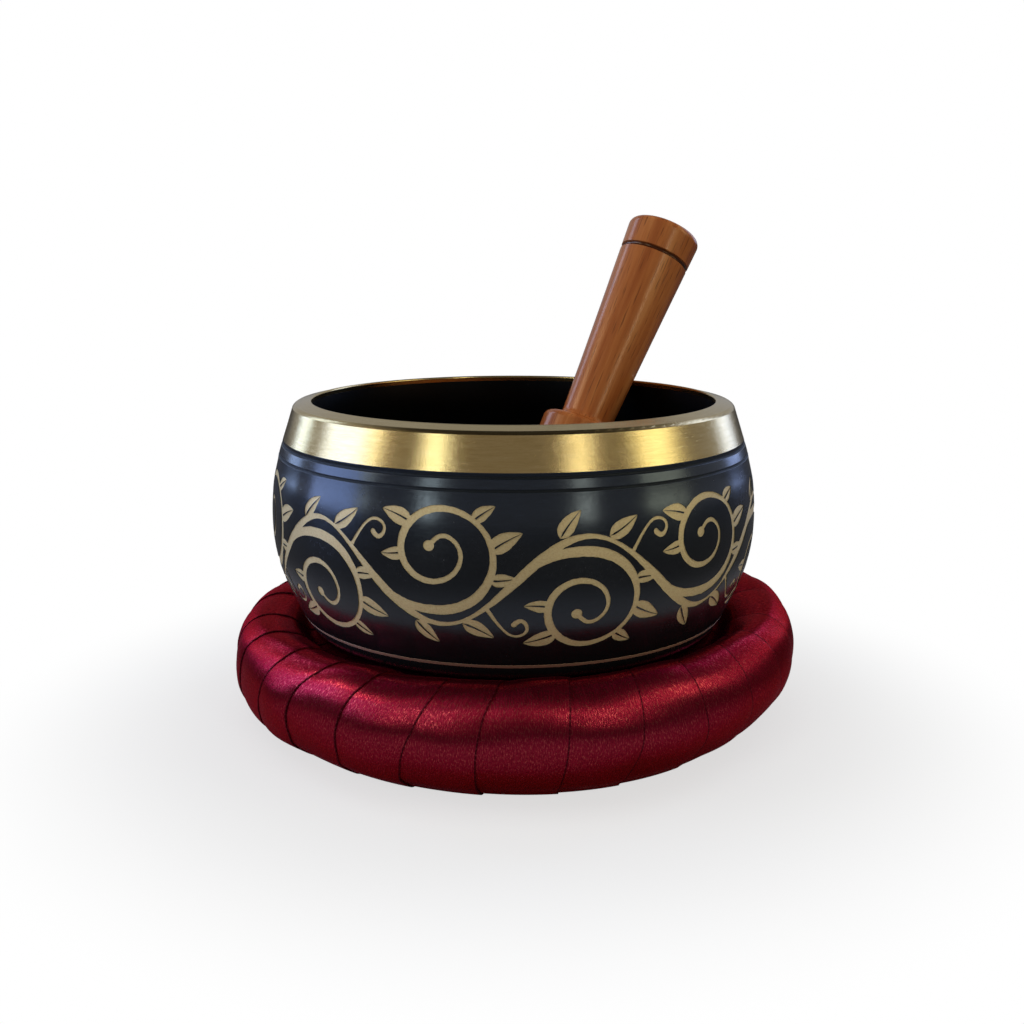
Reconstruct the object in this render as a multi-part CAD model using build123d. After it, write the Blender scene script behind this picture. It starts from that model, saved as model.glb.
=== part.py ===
from build123d import *
import math
import os

# Singing bowl set: a turned brass bowl with a lacquered wall, a wooden mallet
# leaning in it, and a stuffed ring cushion wrapped in satin ribbon.
# Millimetres. +Z is up through the bowl's axis, and the origin is the centre of
# the cushion's underside, on the surface the set stands on.

# ---- driving dimensions ------------------------------------------------------
# bowl, heights measured from its own base plane
BASE_Z = 27.0            # base plane of the bowl above the table
BELLY_R = 70.0           # nominal belly radius
LIP_IN_R, LIP_IN_Z = 58.15, 67.55     # inner edge of the lip land
LIP_OUT_R, LIP_OUT_Z = 63.24, 66.36  # outer corner of the lip land
BAND_R, BAND_Z = 66.32, 56.95        # lower edge of the bare turned band (a straight cone)
GROOVE_1_Z = 55.85       # upper turned groove, just under the band
GROOVE_2_Z = 52.75       # lower turned groove
GROOVE_W, GROOVE_D = 0.8, 0.45
FOOT_R, FOOT_Z = 62.75, 7.3          # wall's lower end, where the bare foot line begins
LINE_H = 0.95            # height of the bare foot line
BASE_FLAT_R = 40.0       # radius of the flat base
FLOOR_Z = 3.2            # inner floor above the base plane
COAT = 0.15              # lacquer thickness

# mallet, measured along its own axis from the head's striking end
MALLET_TILT = 28.71      # degrees from vertical
MALLET_AZ = 36.6         # direction it leans, degrees from +X towards +Y
MALLET_PT = (28.43, 37.52, 67.0)     # point of its axis at the rim's height, bowl heights
HEAD_R = 13.35           # striking head
HEAD_LEN = 52.15
NECK_R = 8.32            # handle beside the head
END_R = 12.02            # handle at its flared end
HANDLE_LEN = 69.22       # shoulder to flared end
MALLET_GROOVE = 10.4     # turned groove, from the flared end
SHOULDER_T = -14.19      # shoulder's place along the axis from MALLET_PT

# cushion, a ring on the bowl's axis
CUSHION_R = 83.0         # outer radius
HOLE_R = 40.0            # radius of the hole
FLAT_IN, FLAT_OUT = 48.0, 68.0       # flat annulus it stands on
WRAP = 0.8               # ribbon layers over the stuffing
TURNS = 28               # turns that the one ribbon makes round the ring


def v(r, z):
    return Vector(r, 0, z)


def up(points, dz):
    return [(r, z + dz) for r, z in points]


def spline(points, start=None, end=None):
    tangents = () if start is None else [Vector(start[0], 0, start[1]), Vector(end[0], 0, end[1])]
    return Spline(*[v(r, z) for r, z in points], tangents=tangents) if tangents else Spline(*[v(r, z) for r, z in points])


def ends(points):
    """Unit directions of a run of points at its first and last point."""
    (a, b), (c, d) = (points[0], points[1]), (points[-2], points[-1])
    t0, t1 = (b[0] - a[0], b[1] - a[1]), (d[0] - c[0], d[1] - c[1])
    n0, n1 = math.hypot(*t0), math.hypot(*t1)
    return (t0[0] / n0, t0[1] / n0), (t1[0] / n1, t1[1] / n1)


def inset(edge, depth, n=14):
    """Points of a curve moved sideways by depth, to the left of its direction."""
    out = []
    for i in range(n + 1):
        p, t = edge.position_at(i / n), edge.tangent_at(i / n)
        out.append((p.X - depth * t.Z, p.Z + depth * t.X))
    return out


def turned(edges):
    """A solid of revolution about the bowl's axis from a closed run of edges."""
    return revolve(make_face(Wire(edges)), Axis.Z, 360)


def chain(points):
    return [Line(v(*a), v(*b)) for a, b in zip(points, points[1:])]


# ---- bowl --------------------------------------------------------------------
# The finished outer wall from the foot line up to the lower groove.
wall_pts = [(FOOT_R, FOOT_Z), (63.99, 10.0), (65.83, 14.0), (67.45, 18.0), (68.70, 22.0), (69.62, 26.5),
            (70.10, 31.5), (70.12, 36.5), (69.75, 42.0), (69.05, 46.8), (68.00, 51.2), (67.78, GROOVE_2_Z - GROOVE_W / 2)]
wall = spline(wall_pts[:-1] + [wall_pts[-1]], (0.46, 1.0), (-0.27, 1.0))
# The strip between the grooves and the strip between the upper groove and the band.
mid = Line(v(67.54, GROOVE_2_Z + GROOVE_W / 2), v(66.80, GROOVE_1_Z - GROOVE_W / 2))
top = Line(v(66.54, GROOVE_1_Z + GROOVE_W / 2), v(BAND_R, BAND_Z))


def notch(a, b, depth):
    """A round-bottomed turned groove from the end of one edge to the start of the next."""
    p, q = a @ 1, b @ 0
    return ThreePointArc(p, v((p.X + q.X) / 2 - depth, (p.Z + q.Z) / 2), q)


notch_2, notch_1 = notch(wall, mid, GROOVE_D), notch(mid, top, GROOVE_D)
outer_wall = [wall, notch_2, mid, notch_1, top]

# The brass under the lacquer: the same run, one coat deeper.
b_wall_pts = inset(wall, COAT)
b_wall = spline(b_wall_pts, *ends(b_wall_pts))
b_mid = Line(*[v(*p) for p in inset(mid, COAT, 1)])
b_top = Line(*[v(*p) for p in inset(top, COAT, 1)])
b_notch_2, b_notch_1 = notch(b_wall, b_mid, GROOVE_D), notch(b_mid, b_top, GROOVE_D)
brass_wall = [b_wall, b_notch_2, b_mid, b_notch_1, b_top]

# The underside: a flat base with a curved turn up to the foot line.
base_pts = [(BASE_FLAT_R, 0.0), (46.0, 0.12), (53.0, 0.70), (57.6, 1.75), (60.4, 3.6), (61.75, FOOT_Z - LINE_H - 0.15)]
base = spline(base_pts, (1.0, 0.0), (0.25, 1.0))
b_base_pts = inset(base, COAT)
b_base_pts[0] = (BASE_FLAT_R, COAT)
b_base = spline(b_base_pts, *ends(b_base_pts))

# The inside of the bowl, from under the lip down to its floor, and the brass behind its coat.
inner_pts = [(58.4, 65.8), (58.95, 62.5), (60.4, 58.2), (63.0, 53.2), (65.7, 47.2), (66.85, 41.1), (66.75, 33.0), (65.3, 22.0),
             (62.1, 13.2), (57.0, 7.2), (50.0, 4.35), (42.0, 3.42), (38.0, 3.25), (34.0, FLOOR_Z)]
inner = spline(inner_pts, (0.12, -1.0), (-1.0, 0.0))
b_inner_pts = inset(inner, COAT, 60)
b_inner_pts[-1] = (34.0, FLOOR_Z - COAT)
b_inner = spline(b_inner_pts, *ends(b_inner_pts))

# Bare brass: the body, with its band, lip land and foot line at the finished size.
run = []
run += chain([(0, COAT), (BASE_FLAT_R, COAT)])
run += [b_base]
e = b_base @ 1
run += chain([(e.X, e.Z), (62.15, FOOT_Z - LINE_H), (62.72, FOOT_Z - 0.10), ((b_wall @ 0).X, (b_wall @ 0).Z)])
run += brass_wall
e = b_top @ 1
land = [(e.X, e.Z), (BAND_R, BAND_Z)]
run += chain(land)
# band cone, rounded outer corner, lip land, rounded inner corner
cr, cz = (BAND_R - LIP_OUT_R), (LIP_OUT_Z - BAND_Z)
cn = math.hypot(cr, cz)
lr, lz = (LIP_OUT_R - LIP_IN_R), (LIP_IN_Z - LIP_OUT_Z)
ln = math.hypot(lr, lz)
a = (LIP_OUT_R + 0.75 * cr / cn, LIP_OUT_Z - 0.75 * cz / cn)
b = (LIP_OUT_R - 0.75 * lr / ln, LIP_OUT_Z + 0.75 * lz / ln)
m = ((a[0] + b[0]) / 2 * 0.45 + LIP_OUT_R * 0.55 - 0.08, (a[1] + b[1]) / 2 * 0.45 + LIP_OUT_Z * 0.55 - 0.08)
run += chain([(BAND_R, BAND_Z), a])
run += [ThreePointArc(v(*a), v(*m), v(*b))]
c = (LIP_IN_R + 0.7 * lr / ln, LIP_IN_Z - 0.7 * lz / ln)
d = (LIP_IN_R + 0.02, LIP_IN_Z - 0.85)
m = (LIP_IN_R + 0.16, LIP_IN_Z - 0.17)
run += chain([b, c])
run += [ThreePointArc(v(*c), v(*m), v(*d))]
s = inner @ 0
run += chain([d, (s.X, s.Z), ((b_inner @ 0).X, (b_inner @ 0).Z)])
run += [b_inner]
run += chain([(34.0, FLOOR_Z - COAT), (0, FLOOR_Z - COAT), (0, COAT)])
bowl = Pos(0, 0, BASE_Z) * turned(run)

# Wall coat, from under the band to the foot line; the ornament is cut through it.
w0, bw0 = wall @ 0, b_wall @ 0
t1, bt1 = top @ 1, b_top @ 1
wall_coat = turned([*outer_wall, Line(t1, bt1), *brass_wall, Line(bw0, w0)])
# Base coat, over the underside up to the foot line.
p1, bp1 = base @ 1, b_base @ 1
base_coat = turned([Line(v(0, 0), v(BASE_FLAT_R, 0)), base, Line(p1, bp1), b_base,
                    Line(v(BASE_FLAT_R, COAT), v(0, COAT)), Line(v(0, COAT), v(0, 0))])
i0, bi0 = inner @ 0, b_inner @ 0
inner_coat = turned([inner, Line(v(34.0, FLOOR_Z), v(0, FLOOR_Z)), Line(v(0, FLOOR_Z), v(0, FLOOR_Z - COAT)),
                     Line(v(0, FLOOR_Z - COAT), v(34.0, FLOOR_Z - COAT)), b_inner, Line(bi0, i0)])
wall_lacquer = Pos(0, 0, BASE_Z) * wall_coat
base_lacquer = Pos(0, 0, BASE_Z) * base_coat
inner_lacquer = Pos(0, 0, BASE_Z) * inner_coat

# ---- mallet ------------------------------------------------------------------
# Turned in one piece: a plain striking head, a shoulder, and a handle that
# flares to a rounded end with one turned groove.
L = HEAD_LEN + HANDLE_LEN


def handle_r(t):
    """Radius of the handle at t from the shoulder."""
    return NECK_R + (END_R - NECK_R) * max(t, 0.0) ** 1.15 / HANDLE_LEN ** 1.15


g = HANDLE_LEN - MALLET_GROOVE
flare = [(handle_r(t), HEAD_LEN + t) for t in (2.0, 14.0, 27.0, 40.0, 52.0, g - 0.7)]
flare_end = [(handle_r(t), HEAD_LEN + t) for t in (g + 0.7, HANDLE_LEN - 2.6)]
f_spline = spline(flare, *ends(flare))
r_end = handle_r(HANDLE_LEN)
mallet_run = [
    Line(v(0, 0), v(HEAD_R - 3.0, 0.35)),
    ThreePointArc(v(HEAD_R - 3.0, 0.35), v(HEAD_R - 0.75, 1.15), v(HEAD_R, 3.2)),
    Line(v(HEAD_R, 3.2), v(HEAD_R, HEAD_LEN - 2.2)),
    ThreePointArc(v(HEAD_R, HEAD_LEN - 2.2), v(HEAD_R - 0.62, HEAD_LEN - 0.72), v(HEAD_R - 2.1, HEAD_LEN - 0.1)),
    Line(v(HEAD_R - 2.1, HEAD_LEN - 0.1), v(NECK_R + 1.3, HEAD_LEN + 0.35)),
    ThreePointArc(v(NECK_R + 1.3, HEAD_LEN + 0.35), v(NECK_R + 0.45, HEAD_LEN + 0.85), v(*flare[0])),
    f_spline,
    ThreePointArc(v(*flare[-1]), v(handle_r(g) - 0.75, HEAD_LEN + g), v(*flare_end[0])),
    Line(v(*flare_end[0]), v(*flare_end[1])),
    ThreePointArc(v(*flare_end[1]), v(r_end - 0.72, L - 0.85), v(r_end - 2.7, L - 0.18)),
    Line(v(r_end - 2.7, L - 0.18), v(0, L)),
    Line(v(0, L), v(0, 0)),
]
mallet_z = turned(mallet_run)
# Stand it on the bowl's floor, leaning on the rim.
tilt, az = math.radians(MALLET_TILT), math.radians(MALLET_AZ)
axis = Vector(math.sin(tilt) * math.cos(az), math.sin(tilt) * math.sin(az), math.cos(tilt))
heel = Vector(MALLET_PT[0], MALLET_PT[1], MALLET_PT[2] + BASE_Z) + axis * (SHOULDER_T - HEAD_LEN)
mallet = Plane(origin=heel, z_dir=axis) * mallet_z

# ---- cushion -----------------------------------------------------------------
# Section of the ring: flat underneath, high at the outside, and pressed down
# on the inside to the shape of the bowl that sits in it.
Z = BASE_Z
ring_out = [
    (FLAT_OUT, 0.0), (73.6, 1.0), (78.6, 4.8), (81.6, 10.2), (82.75, 15.0), (CUSHION_R, 19.0), (82.6, 23.4), (80.9, 28.6), (77.4, 32.6),
    (72.8, 34.7), (68.6, 34.7), (65.2, 33.2), (62.7, 30.9), (60.3, 29.2), (56.6, 27.75), (51.5, 26.5), (46.6, 25.2), (42.6, 22.2),
    (40.5, 17.6), (HOLE_R, 12.6), (40.9, 7.2), (43.6, 2.2), (FLAT_IN, 0.0),
]
BREAKS = (0, 5, 10, 14, 19, 22)


def smooth_run(points, breaks, first, last):
    """Splines end to end through the points, sharing a tangent where two meet."""
    out = []
    for i, j in zip(breaks, breaks[1:]):
        t0 = first if i == 0 else (points[i + 1][0] - points[i - 1][0], points[i + 1][1] - points[i - 1][1])
        t1 = last if j == len(points) - 1 else (points[j + 1][0] - points[j - 1][0], points[j + 1][1] - points[j - 1][1])
        n0, n1 = math.hypot(*t0), math.hypot(*t1)
        out.append(spline(points[i:j + 1], (t0[0] / n0, t0[1] / n0), (t1[0] / n1, t1[1] / n1)))
    return out


def beside(edges, depth, n=10):
    """The same run of curves moved sideways by depth, to the left."""
    out = []
    for e in edges:
        t0, t1 = e.tangent_at(0), e.tangent_at(1)
        out.append(spline(inset(e, depth, n), (t0.X, t0.Z), (t1.X, t1.Z)))
    return out


o_run = smooth_run(ring_out, BREAKS, (1.0, 0.0), (1.0, 0.0))
i_run = beside(o_run, WRAP)
o_line = Line(v(FLAT_IN, 0), v(FLAT_OUT, 0))
i_line = Line(i_run[-1] @ 1, i_run[0] @ 0)
section = make_face(Wire([o_line, *o_run]))
core_section = make_face(Wire([i_line, *i_run]))
cushion_core = revolve(core_section, Axis.Z, 360)
# The real ribbon is one strip, wound round the ring's section in overlapping turns. Here it is a closed
# band for each turn, side by side: TURNS simple solids that stand in for that one strip.
turn = revolve(section - core_section, Axis.Z, 360 / TURNS)
ribbon_wrap = Compound(children=[Rot(0, 0, 360 / TURNS * i) * turn for i in range(TURNS)])

parts = {
    "bowl": bowl,
    "wall_lacquer": wall_lacquer,
    "base_lacquer": base_lacquer,
    "inner_lacquer": inner_lacquer,
    "mallet": mallet,
    "cushion_core": cushion_core,
    "ribbon_wrap": ribbon_wrap,
}
os.makedirs("parts", exist_ok=True)
for name, solid in parts.items():
    solid.label = name
    export_step(solid, f"parts/{name}.step")
    box = solid.bounding_box()
    print(name, "volume", round(solid.volume), "box", [round(x, 2) for x in (*box.min, *box.max)])
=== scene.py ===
import math

import bpy
import numpy as np
from mathutils import Euler, Matrix, Vector
from mathutils.geometry import delaunay_2d_cdt


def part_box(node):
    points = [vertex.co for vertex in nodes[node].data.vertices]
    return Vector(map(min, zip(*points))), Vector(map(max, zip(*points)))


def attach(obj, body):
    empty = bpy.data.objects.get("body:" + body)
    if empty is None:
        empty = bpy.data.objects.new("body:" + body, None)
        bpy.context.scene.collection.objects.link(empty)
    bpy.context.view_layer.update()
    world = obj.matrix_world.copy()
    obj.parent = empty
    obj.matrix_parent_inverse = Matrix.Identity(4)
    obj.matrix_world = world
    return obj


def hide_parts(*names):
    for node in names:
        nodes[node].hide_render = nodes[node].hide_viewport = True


# Singing bowl on a ribbon-wrapped ring cushion. Everything is in metres, in the
# CAD's frame: the origin is the centre of the cushion's underside, +Z up, and the
# set is seen from -Y. Angles called T run from -Y towards +X.
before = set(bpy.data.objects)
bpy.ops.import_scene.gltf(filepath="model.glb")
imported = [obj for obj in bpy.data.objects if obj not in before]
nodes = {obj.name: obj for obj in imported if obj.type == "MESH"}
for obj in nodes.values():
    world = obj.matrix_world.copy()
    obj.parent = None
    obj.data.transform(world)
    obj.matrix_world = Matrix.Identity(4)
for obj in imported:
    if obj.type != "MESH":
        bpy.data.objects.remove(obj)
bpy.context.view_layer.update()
MM = 0.001
BASE_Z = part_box("base_lacquer")[0].z / MM      # the bowl's base plane, mm
rng = np.random.default_rng(7)


# ---- camera ------------------------------------------------------------------
cam_data = bpy.data.cameras.new("camera")
cam_data.lens = 42.053
cam_data.sensor_width = 36.0
cam_data.clip_start, cam_data.clip_end = 0.01, 50
cam = bpy.data.objects.new("camera", cam_data)
cam.location = (-0.0004, -0.3474, BASE_Z * MM + 0.1091)
cam.rotation_euler = (math.pi / 2 - 0.21579, 0, 0)
bpy.context.scene.collection.objects.link(cam)
bpy.context.scene.camera = cam


# ---- small helpers -----------------------------------------------------------
def link(ob):
    bpy.context.scene.collection.objects.link(ob)
    return ob


def mesh_object(name, verts, faces, material, smooth=True):
    me = bpy.data.meshes.new(name)
    me.from_pydata(np.asarray(verts, float).tolist(), [], faces if isinstance(faces, list) else faces.tolist())
    me.validate()
    me.update()
    if smooth:
        me.polygons.foreach_set("use_smooth", np.ones(len(me.polygons), bool))
    me.materials.append(material)
    return link(bpy.data.objects.new(name, me))


def hash01(n):
    """A repeatable number from 0 to 1 for an integer."""
    x = math.sin(n * 127.1 + 311.7) * 43758.5453
    return x - math.floor(x)


def wobble(x, period, seed, octaves=3):
    """Smooth noise on a line that repeats every period, about -1 to 1."""
    x = np.asarray(x, float)
    out = np.zeros_like(x)
    amp, tot = 1.0, 0.0
    for o in range(octaves):
        n = 2 ** o
        a, b = hash01(seed + 17.3 * o) * 2 * math.pi, hash01(seed + 5.1 + 31.7 * o) * 2 * math.pi
        f = n * 2 * math.pi / period
        out += amp * (0.6 * np.sin(f * x + a) + 0.4 * np.sin(2 * f * x + b))
        tot += amp
        amp *= 0.6
    return out / tot


def cubic(xs, ys, x, d0=None, d1=None):
    """Natural or clamped cubic spline through the points, and its slope."""
    xs, ys, x = np.asarray(xs, float), np.asarray(ys, float), np.asarray(x, float)
    n = len(xs)
    h = np.diff(xs)
    A, B = np.zeros((n, n)), np.zeros(n)
    for i in range(1, n - 1):
        A[i, i - 1], A[i, i], A[i, i + 1] = h[i - 1], 2 * (h[i - 1] + h[i]), h[i]
        B[i] = 6 * ((ys[i + 1] - ys[i]) / h[i] - (ys[i] - ys[i - 1]) / h[i - 1])
    A[0, 0] = A[-1, -1] = 1
    if d0 is not None:
        A[0, 0], A[0, 1], B[0] = 2 * h[0], h[0], 6 * ((ys[1] - ys[0]) / h[0] - d0)
    if d1 is not None:
        A[-1, -1], A[-1, -2], B[-1] = 2 * h[-1], h[-1], 6 * (d1 - (ys[-1] - ys[-2]) / h[-1])
    m = np.linalg.solve(A, B)
    i = np.clip(np.searchsorted(xs, x) - 1, 0, n - 2)
    t, k = x - xs[i], h[i]
    c1 = (ys[i + 1] - ys[i]) / k - k * (2 * m[i] + m[i + 1]) / 6
    c2, c3 = m[i] / 2, (m[i + 1] - m[i]) / (6 * k)
    return ys[i] + t * (c1 + t * (c2 + t * c3)), c1 + t * (2 * c2 + 3 * c3 * t)


def smooth01(x):
    x = np.clip(x, 0, 1)
    return x * x * (3 - 2 * x)


# ---- materials ---------------------------------------------------------------
class Mat:
    """A node material built by small calls."""

    def __init__(self, name):
        self.m = bpy.data.materials.new(name)
        self.m.use_nodes = True
        self.t = self.m.node_tree
        self.t.nodes.clear()
        self.out = self.n("ShaderNodeOutputMaterial")
        self.b = self.n("ShaderNodeBsdfPrincipled")
        self.l(self.b.outputs[0], self.out.inputs["Surface"])

    def n(self, kind, **kw):
        node = self.t.nodes.new(kind)
        for k, v in kw.items():
            setattr(node, k, v)
        return node

    def l(self, a, b):
        self.t.links.new(a, b)

    def put(self, socket, value):
        if isinstance(value, bpy.types.NodeSocket):
            self.l(value, socket)
        elif isinstance(value, (tuple, list)) and socket.type == "RGBA" and len(value) == 3:
            socket.default_value = (*value, 1)
        else:
            socket.default_value = value

    def set(self, **kw):
        for k, v in kw.items():
            self.put(self.b.inputs[k.replace("_", " ")], v)

    def math(self, op, a, b=None, c=None, clamp=False):
        node = self.n("ShaderNodeMath", operation=op, use_clamp=clamp)
        for s, v in zip(node.inputs, (a, b, c)):
            if v is not None:
                self.put(s, v)
        return node.outputs[0]

    def vmath(self, op, a, b=None):
        node = self.n("ShaderNodeVectorMath", operation=op)
        self.put(node.inputs[0], a)
        if b is not None:
            self.put(node.inputs[1], b)
        return node.outputs["Value"] if op in ("LENGTH", "DOT_PRODUCT") else node.outputs["Vector"]

    def mix(self, fac, a, b, blend="MIX"):
        node = self.n("ShaderNodeMix", data_type="RGBA", blend_type=blend)
        self.put(node.inputs[0], fac)
        self.put(node.inputs[6], a)
        self.put(node.inputs[7], b)
        return node.outputs[2]

    def ramp(self, fac, *stops, mode="LINEAR"):
        node = self.n("ShaderNodeValToRGB")
        node.color_ramp.interpolation = mode
        e = node.color_ramp.elements
        while len(e) < len(stops):
            e.new(0.5)
        for el, (pos, col) in zip(e, stops):
            el.position = pos
            el.color = (*col, 1) if isinstance(col, tuple) else (col, col, col, 1)
        self.put(node.inputs[0], fac)
        return node.outputs[0]

    def span(self, x, a, b, lo=0.0, hi=1.0, smooth=False):
        node = self.n("ShaderNodeMapRange", interpolation_type="SMOOTHSTEP" if smooth else "LINEAR")
        for s, v in zip(node.inputs[:5], (x, a, b, lo, hi)):
            self.put(s, v)
        return node.outputs[0]

    def coord(self, kind="Object"):
        return self.n("ShaderNodeTexCoord").outputs[kind]

    def xyz(self, v):
        s = self.n("ShaderNodeSeparateXYZ")
        self.put(s.inputs[0], v)
        return s.outputs[0], s.outputs[1], s.outputs[2]

    def vec(self, x, y, z):
        c = self.n("ShaderNodeCombineXYZ")
        for s, v in zip(c.inputs, (x, y, z)):
            self.put(s, v)
        return c.outputs[0]

    def scaled(self, v, s):
        node = self.n("ShaderNodeMapping")
        self.put(node.inputs["Vector"], v)
        node.inputs["Scale"].default_value = s if isinstance(s, (tuple, list)) else (s, s, s)
        return node.outputs[0]

    def noise(self, v, scale, detail=3.0, rough=0.55, lac=2.0, dist=0.0, dim="3D"):
        node = self.n("ShaderNodeTexNoise", noise_dimensions=dim)
        if dim == "1D":
            self.put(node.inputs["W"], v)
        else:
            self.put(node.inputs["Vector"], v)
        node.inputs["Scale"].default_value = scale
        node.inputs["Detail"].default_value = detail
        node.inputs["Roughness"].default_value = rough
        node.inputs["Lacunarity"].default_value = lac
        node.inputs["Distortion"].default_value = dist
        return node.outputs[0]

    def bump(self, height, strength, distance, normal=None):
        node = self.n("ShaderNodeBump")
        node.inputs["Strength"].default_value = strength
        node.inputs["Distance"].default_value = distance
        self.put(node.inputs["Height"], height)
        if normal is not None:
            self.l(normal, node.inputs["Normal"])
        return node.outputs[0]

    def tangent(self, kind="RADIAL", axis="Z", uv=None):
        node = self.n("ShaderNodeTangent", direction_type=kind)
        if kind == "RADIAL":
            node.axis = axis
        else:
            node.uv_map = uv
        return node.outputs[0]

    def polar(self, v):
        """Radius, angle and height about the bowl's axis."""
        x, y, z = self.xyz(v)
        r = self.math("SQRT", self.math("ADD", self.math("MULTIPLY", x, x), self.math("MULTIPLY", y, y)))
        return r, self.math("ARCTAN2", x, self.math("MULTIPLY", y, -1.0)), z


def brass_material():
    """Turned brass: rings of fine tool lines on the band and lip, and coarser brushed metal down the wall."""
    m = Mat("brass_turned")
    p = m.coord()
    r, a, z = m.polar(p)
    zb = m.math("SUBTRACT", z, BASE_Z * MM)
    # place along the turned surface, so that the lines follow band and land alike
    along = m.math("ADD", m.math("MULTIPLY", z, 1.0), m.math("MULTIPLY", r, -1.35))
    ringed = m.vec(m.math("MULTIPLY", a, 0.006), 0.0, along)
    fine = m.noise(ringed, 9000, 4.0, 0.7)
    broad = m.noise(ringed, 1300, 3.0, 0.6)
    long_marks = m.noise(m.vec(m.math("MULTIPLY", a, 0.05), 0.0, along), 2600, 2.0, 0.6)
    # streaks across the band, left by the turning, that break the highlights up sideways
    across = m.noise(m.vec(m.math("MULTIPLY", a, 0.11), m.math("MULTIPLY", along, 0.07), 0.0), 900, 3.0, 0.65)
    lines = m.math("ADD", m.math("MULTIPLY", fine, 0.55), m.math("MULTIPLY", broad, 0.45))
    tone = m.ramp(lines, (0.25, (0.60, 0.43, 0.17)), (0.5, (0.80, 0.61, 0.285)), (0.75, (0.93, 0.75, 0.42)))
    patina = m.noise(m.scaled(p, (1, 1, 0.6)), 38, 4.0, 0.6)
    tone = m.mix(m.span(patina, 0.55, 0.78, 0, 0.35), tone, (0.52, 0.37, 0.16))
    # the wall under the coat is scraped brass, darker and duller
    wall = m.span(zb, 0.0565, 0.0560, 0.0, 1.0)
    hatch = m.noise(m.scaled(p, (1.0, 1.0, 1.6)), 1500, 3.0, 0.7)
    scrape = m.noise(m.vec(m.math("MULTIPLY", a, 0.05), 0.0, m.math("ADD", z, m.math("MULTIPLY", a, 0.012))), 2400, 3.0, 0.7)
    scraped = m.ramp(m.math("ADD", m.math("MULTIPLY", hatch, 0.45), m.math("MULTIPLY", scrape, 0.55)),
                     (0.30, (0.78, 0.58, 0.29)), (0.52, (0.98, 0.78, 0.43)), (0.72, (1.0, 0.88, 0.58)))
    foot = m.span(zb, 0.0079, 0.0071, 0.0, 1.0)
    colour = m.mix(wall, tone, scraped)
    colour = m.mix(foot, colour, (0.56, 0.31, 0.23))
    rough = m.math("ADD", m.span(lines, 0.3, 0.7, 0.165, 0.245), m.math("MULTIPLY", wall, 0.26))
    rough = m.math("ADD", rough, m.math("ADD", m.span(patina, 0.5, 0.8, 0.0, 0.08), m.math("MULTIPLY", foot, 0.12)), clamp=True)
    b1 = m.bump(fine, 0.35, 0.00004)
    b2 = m.bump(long_marks, 0.25, 0.00005, b1)
    b3 = m.bump(across, 0.10, 0.00006, b2)
    b4 = m.bump(m.math("MULTIPLY", hatch, wall), 0.5, 0.00012, b3)
    m.set(Base_Color=colour, Roughness=rough, Metallic=m.span(wall, 0.0, 1.0, 1.0, 0.40), Anisotropic=0.62, Anisotropic_Rotation=0.25,
          Tangent=m.tangent("RADIAL", "Z"), Normal=b4)
    return m.m


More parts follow.
